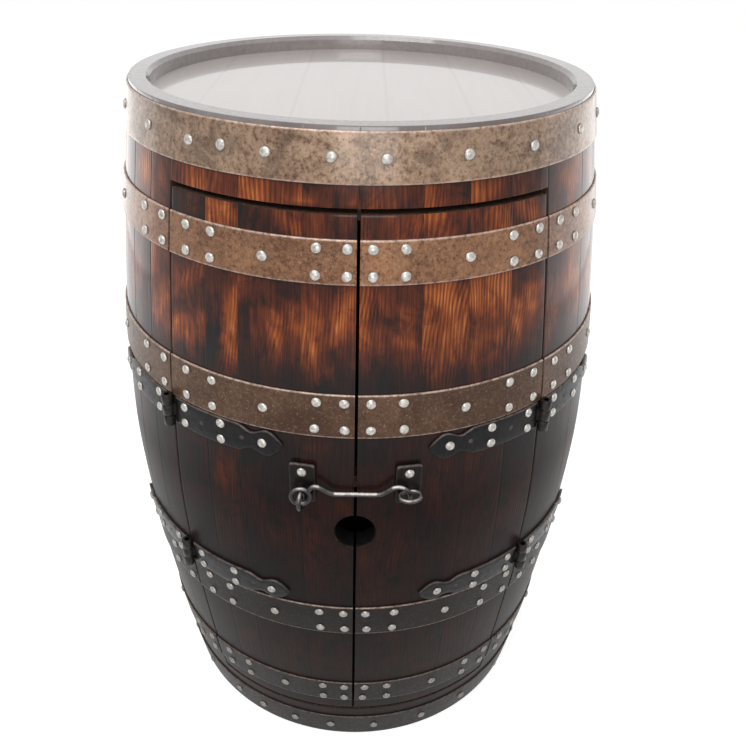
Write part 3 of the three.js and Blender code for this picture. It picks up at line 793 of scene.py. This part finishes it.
# Hoops and their rivets
hoops = {
    "thickness": 0.002,
    "seat": 0.0003,
    "endGap": 0.0003,
    "bands": {  # centre height, width
        "top_head": (0.872, 0.048),
        "upper_quarter": (0.7745, 0.045),
        "upper_bilge": (0.607, 0.052),
        "lower_bilge": (0.293, 0.052),
        "lower_quarter": (0.1255, 0.045),
        "bottom_head": (0.028, 0.048),
    },
    "angleStep": 1.5,
    "bevel": 0.0006,
    "edgeBand": 0.0016,
    "wave": 0.00015,
    "waveScale": (0.13, 60),  # round and up
}
rivets = {
    "radius": 0.0056,
    "height": 0.0034,
    "rings": 5,
    "sides": 20,
    "collar": 0.12,  # share of the height that is a straight rim
    "arc": 0.96,  # of a quarter turn
    "wear": (1.0, 0.45),  # grime and painted shade on the two lowest rings, where the head meets the hoop
    "squash": (0.86, 1.0),
    "uneven": 0.035,
    "sunk": 0.0001,
    "pairSpread": {"upper_quarter": 0.0135, "upper_bilge": 0.016, "lower_bilge": 0.0155,
                   "lower_quarter": 0.0135},
    "pairStray": 0.25,  # degrees
    "singleStray": 0.4,
    "heightStray": 0.001,
    "leftPairs": [-37.4, -30.5, -8.0, -2.3],
    "leftSingles": [-18.8],
    "rightPairs": [2.8, 9.1, 32.4, 39.5],
    "rightSingles": [22.0],
    "carcassPairs": [46.6, 53.3, -45.0, -52.2],
    "carcassSingles": [68, 86, 104, 124, 142, 161, 180, 199, 218, 236, 256, 274, 291],
    "top_head": [-88, -71.5, -51.8, -36.8, -28.1, -18.3, -5.2, 5.1, 21.9, 38.2, 56, 74, 91, 109, 128,
                 146, 163, 181, 199, 217, 235, 254],
    "bottom_head": [-87, -70, -54, -38.8, -28.9, -18.3, -6.7, 6.5, 21.7, 35.9, 53, 70, 88, 107, 125,
                    144, 162, 180, 199, 217, 236, 255],
}
hoopFace = hoops["seat"] + hoops["thickness"]


def hoopBand(name, node, body, band, fromAngle, toAngle, fromGap=0.0, toGap=0.0):
    centre, width = hoops["bands"][band]
    low, high = centre - width / 2, centre + width / 2
    base, bevel, wide = hoops["seat"], hoops["bevel"], hoops["bevel"] + hoops["edgeBand"]
    profile = [(low, base, 0.3), (low, hoopFace - bevel, 0.9), (low + bevel, hoopFace, 0.9),
               (low + wide, hoopFace, 0), (centre, hoopFace, 0), (high - wide, hoopFace, 0),
               (high - bevel, hoopFace, 1.0), (high, hoopFace - bevel, 1.0),
               (high, base, 0.3)]  # height, distance out from the staves, wear
    whole = toAngle - fromAngle == 360
    count = max(2, round((toAngle - fromAngle) / hoops["angleStep"]))
    turnScale, heightScale = hoops["waveScale"]
    loops = []
    for k in range(count if whole else count + 1):
        share = k / count
        loop = []
        for z, out, wear in profile:
            radius = sideRadius(z)
            gapTurn = math.degrees((fromGap * (1 - share) - toGap * share) / radius)
            angle = fromAngle + (toAngle - fromAngle) * share + gapTurn
            wave = hoops["wave"] * noise.noise(Vector((angle * turnScale, z * heightScale, len(name))))
            loop.append(around(angle, radius + out + (min(0, wave) if out > base else 0), z))
        loops.append(loop)
    bundle = Bundle()
    bundle.skin(loops, [wear for z, out, wear in profile], whole)
    bundle.build(name, body, [hoopSteel], "hoop_steel", node, sharp=60)


def dome(bundle, place):
    # a domed head with a short straight rim, slightly uneven from the hammer
    squash = rng.uniform(*rivets["squash"])
    wobble = rng.uniform(0, tau)
    rings, sides = [(rivets["radius"], 0.0)], rivets["sides"]
    for k in range(rivets["rings"] + 1):
        t = k / rivets["rings"] * math.pi / 2 * rivets["arc"]
        rise = rivets["collar"] + (1 - rivets["collar"]) * math.sin(t)
        rings.append((rivets["radius"] * math.cos(t), rivets["height"] * squash * rise))
    loops = []
    for r, h in rings:
        turns = [(tau * s / sides, r * (1 + rivets["uneven"] * math.cos(2 * tau * s / sides + wobble)))
                 for s in range(sides)]
        loops.append([place @ Vector((reach * math.cos(t), reach * math.sin(t), h)) for t, reach in turns])
    low, high = rivets["wear"]
    bundle.skin(loops, [low] * sides + [high] * sides + [0.0] * sides * rivets["rings"])


def rivetSpots(band, pairs, singles):
    centre, spread = hoops["bands"][band][0], rivets["pairSpread"].get(band, 0)
    pairStray, stray, lift = rivets["pairStray"], rivets["singleStray"], rivets["heightStray"]
    spots = [(angle + rng.uniform(-pairStray, pairStray), centre + sign * spread)
             for angle in pairs for sign in (-1, 1)]
    spots += [(angle + rng.uniform(-stray, stray), centre + rng.uniform(-lift, lift)) for angle in singles]
    return spots


def rivetRow(name, body, spots, out):
    bundle = Bundle()
    for angle, z in spots:
        dome(bundle, seat(angle, z, out - rivets["sunk"]))
    bundle.build(name, body, [rivetSteel], "hoop_steel", sharp=70)


def allHoops():
    for band in ("top_head", "bottom_head"):
        label = f"{band.split('_')[0]}HeadHoop"
        hoopBand(label, f"{band}_hoop", "carcass", band, -180, 180)
        rivetRow(f"{label}Rivets", "carcass", rivetSpots(band, [], rivets[band]), hoopFace)
    half, gap = barrel["doorAngle"], hoops["endGap"]
    spans = {"carcass": (half, 360 - half, gap, gap), **doorSpans}
    for band in ("upper_quarter", "upper_bilge", "lower_bilge", "lower_quarter"):
        level, kind = band.split("_")
        for part, span in spans.items():
            body = part if part == "carcass" else f"{part}_door"
            label = f"{part}{'' if part == 'carcass' else 'Door'}"
            first = level.capitalize() if part == "carcass" else level
            hoopBand(f"{label}{first}{kind.capitalize()}Hoop", f"{body}_{band}_hoop", body, band, *span)
            spots = rivetSpots(band, rivets[f"{part}Pairs"], rivets[f"{part}Singles"])
            rivetRow(f"{label}{level}{kind.capitalize()}HoopRivets", body, spots, hoopFace)


allHoops()
print("hoops ready")

# Strap hinges
hinges = {
    "offset": 0.113,
    "thickness": 0.0035,
    "reach": 28,
    "halfHeight": 0.017,
    "outline": [(0.0, 1.0), (0.60, 1.0), (0.66, 0.97), (0.70, 0.80), (0.735, 0.62), (0.76, 0.58),
                (0.785, 0.62), (0.82, 0.78), (0.85, 0.9), (0.88, 0.94), (0.91, 0.86), (0.94, 0.66),
                (0.97, 0.38), (1.0, 0.08)],  # share of the reach, share of the half height
    "section": [(-1, 0.0011, 0.3), (-0.955, 0.0002, 0.3), (-0.9, 0, 0), (-0.45, 0, 0), (0, 0, 0),
                (0.45, 0, 0), (0.9, 0, 0), (0.955, 0.0002, 0.6),
                (1, 0.0011, 0.9)],  # share of the half height, drop, wear; the upper edge gets more, a painted highlight
    "stations": 70,
    "endDrop": 0.0009,
    "startOut": 0.0075,  # the strap starts this far from the pin
    "rivetAngles": [4.4, 14.3],
    "rivetSpread": 0.0102,
    "spadeAngle": 23.8,
    "holeAngles": [9.2, 19.2],
    "hole": [(0.0028, 0.0, 0.5), (0.0024, 0.00025, 0.5), (0.0016, -0.0002, 0),
             (0.0004, -0.0002, 0)],  # radius, distance out, wear
    "holeSides": 16,
    "knuckleRadius": 0.0065,
    "knuckleLength": 0.042,
    "knuckleBevel": 0.0007,
    "tongueLength": 0.0085,
    "tongueRise": 0.0015,
    "pinRadius": 0.003,
    "pinWear": 0.15,
    "tongueShares": (0, 0.2, 0.4, 0.6, 0.8, 1),
    "tongueWear": 0.1,
    "sideShare": 0.32,  # of the knuckle's length, at each end, for the frame leaf
    "gap": 0.0005,
}
strapFace = hoops["seat"] + hinges["thickness"]
knuckleFoot = midHeight + hinges["offset"] - hinges["knuckleLength"] / 2
pinReach = sideRadius(knuckleFoot) + hoops["seat"] + hinges["knuckleRadius"]
pinAngle = barrel["doorAngle"] - math.degrees(barrel["jambGap"] / 2 / pinReach)


def outlineAt(share):
    points = hinges["outline"]
    for (a, ha), (b, hb) in zip(points, points[1:]):
        if a <= share <= b:
            return ha + (hb - ha) * (share - a) / (b - a)
    return points[-1][1]


def strapLeaf(bundle, angle, way, centreZ):
    # bent strap from the pin to its spear end, with the edges hammered over
    reach, count, section = hinges["reach"], hinges["stations"], hinges["section"]
    nearPin = math.degrees(hinges["startOut"] / pinReach)
    loops = []
    for k in range(count + 1):
        turn = nearPin + (reach - nearPin) * (k / count)
        half = hinges["halfHeight"] * outlineAt(turn / reach)
        endDrop = hinges["endDrop"] if k in (0, count) else 0.0
        points = [(centreZ + side * half, strapFace - max(drop, endDrop)) for side, drop, wear in section]
        points += [(centreZ + side * half, hoops["seat"]) for side in (1, -1)]
        loops.append(onSide(angle + way * turn, points))
    bundle.skin(loops, [wear for side, drop, wear in section] + [0.0, 0.0])


def turnedPin(bundle, angle, rings, sides=20):
    # a solid turned about the upright line of the hinge pin: rings is a list of radius and height
    loops = [oval(around(angle, pinReach, z), right * radius, back * radius, sides) for radius, z in rings]
    bundle.skin(loops, [hinges["pinWear"]])


def knuckle(bundle, angle, way, centreZ, low, high):
    # a rolled knuckle and the tongue from it to the strap
    r, bevel, base = hinges["knuckleRadius"], hinges["knuckleBevel"], hoops["seat"]
    turnedPin(bundle, angle, [(r - bevel, low), (r, low + bevel), (r, high - bevel), (r - bevel, high)])
    stop = math.degrees(hinges["tongueLength"] / pinReach)
    a, b = max(low, centreZ - hinges["halfHeight"]), min(high, centreZ + hinges["halfHeight"])
    loops = []
    for share in hinges["tongueShares"]:
        top = strapFace + (r + hinges["tongueRise"]) * (1 - share) ** 2
        loops.append(onSide(angle + way * stop * share, [(a, base), (a, top), (b, top), (b, base)]))
    bundle.skin(loops, [hinges["tongueWear"]])


def emptyHole(bundle, angle, z):
    # countersunk screw hole left open: a dark dished ring
    place, rings, sides = seat(angle, z, strapFace), hinges["hole"], hinges["holeSides"]
    loops = [[place @ point for point in oval(up * out, right * r, back * r, sides)]
             for r, out, wear in rings]
    bundle.skin(loops, [wear for r, out, wear in rings for side in range(sides)])


def strapHinge(side, level):
    sign = -1 if side == "left" else 1
    centreZ = midHeight + (hinges["offset"] if level == "upper" else -hinges["offset"])
    angle = sign * pinAngle
    length, gap, pin = hinges["knuckleLength"], hinges["gap"], hinges["pinRadius"]
    bottom, top = centreZ - length / 2, centreZ + length / 2
    sideLength = length * hinges["sideShare"]
    for leaf, way, body in (("Door", -sign, f"{side}_door"), ("Frame", sign, "carcass")):
        bundle = Bundle()
        strapLeaf(bundle, angle, way, centreZ)
        if leaf == "Door":
            knuckle(bundle, angle, way, centreZ, bottom + sideLength + gap, top - sideLength - gap)
        else:
            knuckle(bundle, angle, way, centreZ, bottom, bottom + sideLength)
            knuckle(bundle, angle, way, centreZ, top - sideLength, top)
            turnedPin(bundle, angle, [(pin, bottom), (pin, top)])
        for offset in hinges["holeAngles"]:
            emptyHole(bundle, angle + way * offset, centreZ)
        label = f"{side}{level.capitalize()}Hinge{leaf}"
        node = f"{side}_{level}_hinge_{leaf.lower()}_leaf"
        bundle.build(f"{label}Leaf", body, [strapIron], "black_iron", node, sharp=50)
        spots = [(angle + way * offset, centreZ + s * hinges["rivetSpread"])
                 for offset in hinges["rivetAngles"] for s in (-1, 1)]
        rivetRow(f"{label}Rivets", body, spots + [(angle + way * hinges["spadeAngle"], centreZ)], strapFace)


for side in ("left", "right"):
    for level in ("upper", "lower"):
        strapHinge(side, level)
print("hinges ready")

# Hook latch
latch = {
    "angle": 10.6,
    "plateWidth": 0.03,
    "plateLow": 0.494,
    "plateHigh": 0.546,
    "plateThickness": 0.003,
    "plateCorner": 0.004,
    "cornerSteps": 4,
    "plateBevel": [(0, -0.0008, 1), (0.0007, 0, 1), (0.0025, 0, 0)],  # inset, out, wear, which the top edge turns into a painted highlight
    "topBand": 0.002,
    # painted highlight along the plate's top edge
    "topHighlight": 0.85,
    "sideWear": 0.1,
    "rivetDrop": 0.0105,
    "pivotHeight": 0.512,
    "ringRadius": 0.0092,  # outwards from the door
    "ringDrop": 0.0108,  # half the height of the left ring
    "ringSpread": 0.012,  # half the width of the right ring
    "ringWire": 0.0025,
    "ringSides": 12,
    # painted highlight on the rings' upper front
    "ringHighlight": 1.1,
    "standOff": 0.008,
    "loopRadius": 0.0105,
    "barHeight": 0.5121,
    "hookWire": 0.0027,
    "hookSides": 14,
    "tip": [0.85, 0.55],  # how the point narrows
    "runGap": 0.0004,
    "route": [  # sideways and up from the left ring, the middle or the right ring
        ("left", 0.0076, 0.0019), ("left", 0.0135, 0.0085), ("left", 0.0205, 0.0082),
        ("left", 0.033, 0.0005), ("left", 0.040, -0.001), ("middle", 0, -0.001),
        ("right", -0.038, -0.001), ("right", -0.031, 0.0005), ("right", -0.019, 0.0087),
        ("right", -0.011, 0.0095), ("right", -0.003, 0.0055), ("right", 0, -0.004), ("right", 0, -0.013),
    ],
    "barHighlight": 0.6,
    "brightHighlight": 2.0,
    "brightHeight": 0.0085,  # strong painted highlight on the two humps
    "brightHalf": 0.024,  # and along the middle of the bar
    "highlightFrom": (0, -0.5, 0.866),  # painted highlight on the upper front of a bar, where the light from above falls
    "highlightPower": 7,
}
plateFace = sideRadius(latch["plateLow"]) + hoops["seat"] + latch["plateThickness"]
ringReach = plateFace + latch["standOff"]


def wire(bundle, sections, sides, closed=False, material=0):
    # a forged bar: each section is its centre, radius, two directions across it and its wear, shown as a
    # painted highlight on its upper front
    loops, edges = [], []
    for centre, radius, first, second, wear in sections:
        spokes = oval(Vector(), first, second, sides)
        loops.append([centre + radius * spoke for spoke in spokes])
        towards = [max(0.0, spoke.dot(Vector(latch["highlightFrom"]))) for spoke in spokes]
        edges += [share ** latch["highlightPower"] * wear for share in towards]
    bundle.skin(loops, edges, closed, material)


def ring(bundle, centre, first, second, radius, material=0):
    line, sections = oval(centre, first, second), []
    for k, point in enumerate(line):
        way = (line[(k + 1) % len(line)] - line[k - 1]).normalized()
        side = way.cross(point - centre).normalized()
        sections.append((point, radius, side.cross(way), side, latch["ringHighlight"]))
    wire(bundle, sections, latch["ringSides"], True, material)


def smoothLine(points, steps=8):
    # curve through the points
    line = []
    for k in range(len(points) - 1):
        p0, p1 = points[max(k - 1, 0)], points[k]
        p2, p3 = points[k + 1], points[min(k + 2, len(points) - 1)]
        for s in range(steps):
            t = s / steps
            line.append(0.5 * ((2 * p1) + (p2 - p0) * t + (2 * p0 - 5 * p1 + 4 * p2 - p3) * t * t
                               + (3 * p1 - p0 - 3 * p2 + p3) * t ** 3))
    return line + [points[-1]]


def latchPlate(side):
    angle = -latch["angle"] if side == "left" else latch["angle"]
    outwards = around(angle, 1, 0) - around(angle, 0, 0)
    along = around(angle + 90, 1, 0) - around(angle + 90, 0, 0)
    half, corner = latch["plateWidth"] / 2, latch["plateCorner"]
    low, high, steps = latch["plateLow"], latch["plateHigh"], latch["cornerSteps"]
    rim = []
    for cx, cz, start in ((half - corner, high - corner, 0), (corner - half, high - corner, 90),
                          (corner - half, low + corner, 180), (half - corner, low + corner, 270)):
        turns = [math.radians(start + 90 * k / steps) for k in range(steps + 1)]
        rim += [(cx + corner * math.cos(t), cz + corner * math.sin(t)) for t in turns]
    bundle, loops, edges = Bundle(), [], []
    centreZ = (low + high) / 2
    for inset, out, wear in [(0, -latch["plateThickness"], 0)] + latch["plateBevel"]:
        shrink, shrinkZ = 1 - inset / half, 1 - inset / ((high - low) / 2)
        loops.append([around(angle, plateFace + out, centreZ + (z - centreZ) * shrinkZ) + along * x * shrink
                      for x, z in rim])
        edges += [wear * latch["topHighlight" if z > high - latch["topBand"] else "sideWear"] for x, z in rim]
    bundle.skin(loops, edges)
    if side == "left":  # the hook hangs in an upright ring, and drops into a lying one
        drop, across = latch["ringDrop"], up * latch["ringDrop"]
    else:
        drop, across = latch["ringWire"], along * latch["ringSpread"]
    centre = around(angle, ringReach, latch["pivotHeight"] - drop)
    ring(bundle, centre, outwards * latch["ringRadius"], across, latch["ringWire"], 1)
    body, mats = f"{side}_door", [plateIron, hookIron]
    bundle.build(f"{side}LatchPlate", body, mats, "black_iron", f"{body}_latch_plate", sharp=50)
    rivet = Bundle()
    dome(rivet, facing(angle, plateFace - rivets["sunk"], high - latch["rivetDrop"]))
    rivet.build(f"{side}LatchRivet", body, [rivetSteel], "hoop_steel", sharp=70)


def latchHook():
    hangs, drops = around(-latch["angle"], ringReach, 0), around(latch["angle"], ringReach, 0)
    anchors = {"left": hangs.x, "middle": axisX, "right": drops.x}
    loop, thick, rest = latch["loopRadius"], latch["hookWire"], latch["barHeight"]
    slack = loop - thick - latch["ringWire"] - latch["runGap"]
    bundle = Bundle()
    centre = Vector((hangs.x, hangs.y, latch["pivotHeight"] - slack))
    ring(bundle, centre, right * loop, up * loop, thick)
    route = smoothLine([Vector((anchors[name] + x, hangs.y, rest + z)) for name, x, z in latch["route"]])
    radii = [thick] * (len(route) - 2) + [thick * share for share in latch["tip"]]
    across, sections = back, []
    for k, point in enumerate(route):
        way = (route[min(k + 1, len(route) - 1)] - route[max(k - 1, 0)]).normalized()
        across = (across - way * across.dot(way)).normalized()
        isBright = point.z > rest + latch["brightHeight"] or abs(point.x - axisX) < latch["brightHalf"]
        wear = latch["brightHighlight"] if isBright else latch["barHighlight"]
        sections.append((point, radii[k], across, way.cross(across), wear))
    wire(bundle, sections, latch["hookSides"])
    bundle.build("latchHook", "hook", [hookIron], "black_iron", "latch_hook", sharp=60)


latchPlate("left")
latchPlate("right")
latchHook()
print("latch ready")

# Heads, shelf and the pieces behind the doors
heads = {
    "joints": [-0.178, -0.0735, 0.028, 0.118, 0.2],
    "tones": [0.35, 0.6, 0.45, 0.7, 0.3, 0.55],
    "clearance": 0.0002,
    "rimGap": 0.0008,
    "seam": 0.00003,
    "arris": 0.00005,
    "arrisBand": 0.0004,
    "seamBand": 0.0012,
    "insets": [0, 0.0008, 0.003],
    "between": [0.2, 0.4, 0.6, 0.8],
    "rows": 12,
}


def headBoards(name, node, slotName, material):
    low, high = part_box(node)
    radius = (high[0] - low[0]) / 2 - heads["clearance"]
    joints = [heads["rimGap"] - radius] + heads["joints"] + [radius - heads["rimGap"]]
    bundle = Bundle()
    for a, b, tone in zip(joints, joints[1:], heads["tones"]):
        a, b = a + heads["seam"] / 2, b - heads["seam"] / 2
        loops, uvs, edges = [], [], []
        across = [a + x for x in heads["insets"]] + [a + (b - a) * t for t in heads["between"]]
        for x in across + [b - x for x in reversed(heads["insets"])]:
            reach = math.sqrt(max(0.0, radius ** 2 - x ** 2))
            near = min(x - a, b - x)
            top = high[2] - (heads["arris"] if near < heads["arrisBand"] else 0.0)
            ys = [-reach + 2 * reach * t / heads["rows"] for t in range(heads["rows"] + 1)]
            both = [(y, top) for y in ys] + [(y, low[2]) for y in reversed(ys)]
            loops.append([Vector((axisX + x, axisY + y, z)) for y, z in both])
            uvs += [(x, y) for y, z in both]
            edges += [1.0 if near < heads["seamBand"] else 0.0] * len(both)
        verts, faces = skinLoops(loops)
        bundle.add(verts, faces, uvs, None, {"tone": [tone] * len(verts), "edge": edges})
    bundle.build(name, "carcass", [material], slotName, node, sharp=40)


headBoards("topHeadBoards", "top_head", "oak_head", headOak)
headBoards("bottomHeadBoards", "bottom_head", "oak_inside", bottomOak)
for node in ("shelf_left_board", "shelf_right_board", "shelf_cleat_left", "shelf_cleat_back",
             "shelf_cleat_right", "door_stop_batten"):
    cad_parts[node].data.materials.clear()
    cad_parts[node].data.materials.append(shelfOak)
print("heads and shelf ready")

# Studio and camera
studio = {
    "worldLight": 0.6,
    "floorSize": 14,
    "floorDrop": 0.0004,
    "floor": {
        "sums": {"lift": (0.0, {"seen": 0.61})},
        "ramps": {"colour": ("seen", (0.0, 0.25), (1.0, 0.72))},  # in bounced light, and as it is seen
        "shader": {"Emission Color": (1, 1, 1, 1), "Emission Strength": "lift", "Roughness": 0.9,
                   "Specular IOR Level": 0.0},
    },
    "lamps": {  # place, target, size, power
        "topBox": ((-0.5, -1.3, 2.7), (0, 0, 0.75), (1.8, 1.4), 38),
        "frontBox": ((0.15, -3.2, 1.35), (0, 0, 0.9), (1.5, 0.9), 20),
        "leftBox": ((-1.75, 1.25, 0.46), (0, 0, 0.46), (1.8, 0.84), 4.9),
        "rightBox": ((1.85, 0.85, 0.46), (0, 0, 0.46), (2.2, 0.84), 6),
    },
}
camera = {  # where the camera stands from the barrel's axis, and how it is turned
    "side": 0.0054,
    "front": 0.9959,
    "height": 1.0804,
    "pitch": -31.58,
    "yaw": -0.93,
    "roll": 1.42,
    "focalPixels": 782.1,
    "imageWidth": 746,
    "sensor": 36,
    "clipStart": 0.01,
}


def buildCamera():
    data = bpy.data.cameras.new("camera")
    data.sensor_fit = "HORIZONTAL"
    data.sensor_width = camera["sensor"]
    data.lens = camera["focalPixels"] / camera["imageWidth"] * camera["sensor"]
    data.clip_start = camera["clipStart"]
    piece = addObject("camera", data)
    piece.matrix_world = (
        Matrix.Translation((axisX + camera["side"], axisY - camera["front"], camera["height"]))
        @ Matrix.Rotation(math.radians(camera["yaw"]), 4, "Z")
        @ Matrix.Rotation(math.radians(90 + camera["pitch"]), 4, "X")
        @ Matrix.Rotation(math.radians(camera["roll"]), 4, "Z")
    )
    bpy.context.scene.camera = piece


def seenRays(n):
    # 1 for rays that the camera, gloss or glass sends out, so that they find a white studio
    path = n.put("ShaderNodeLightPath").outputs
    seen = n.math("MAXIMUM", path["Is Camera Ray"], path["Is Glossy Ray"])
    n.parts["seen"] = n.math("MAXIMUM", seen, path["Is Transmission Ray"])


def buildFloor():
    mesh = bpy.data.meshes.new("floor")
    size = studio["floorSize"] / 2
    corners = [(-size, -size, 0), (size, -size, 0), (size, size, 0), (-size, size, 0)]
    mesh.from_pydata(corners, [], [(0, 1, 2, 3)])
    mesh.materials.append(makeMaterial("paleFloor", studio["floor"], seenRays))
    floor = addObject("floor", mesh)
    floor.location.z = -studio["floorDrop"]


def softBox(name, place, target, size, power):
    data = bpy.data.lights.new(name, "AREA")
    data.shape = "RECTANGLE"
    data.size, data.size_y = size
    data.energy = power
    lamp = addObject(name, data)
    lamp.location = place
    lamp.rotation_euler = (Vector(target) - Vector(place)).to_track_quat("-Z", "Y").to_euler()


def buildLight():
    world = bpy.data.worlds.new("studio")
    bpy.context.scene.world = world
    n = Nodes(world, studio)
    seenRays(n)
    dim = studio["worldLight"]
    level = n.put("ShaderNodeMapRange", {"Value": n.part("seen"), "To Min": dim, "To Max": 1.0})
    background = n.tree.nodes["Background"].inputs
    n.link((1, 1, 1, 1), background["Color"])
    n.link(level.outputs[0], background["Strength"])
    for name, row in studio["lamps"].items():
        softBox(name, *row)


buildCamera()
buildFloor()
buildLight()
bpy.context.scene.view_settings.view_transform = "Standard"
print("studio ready")
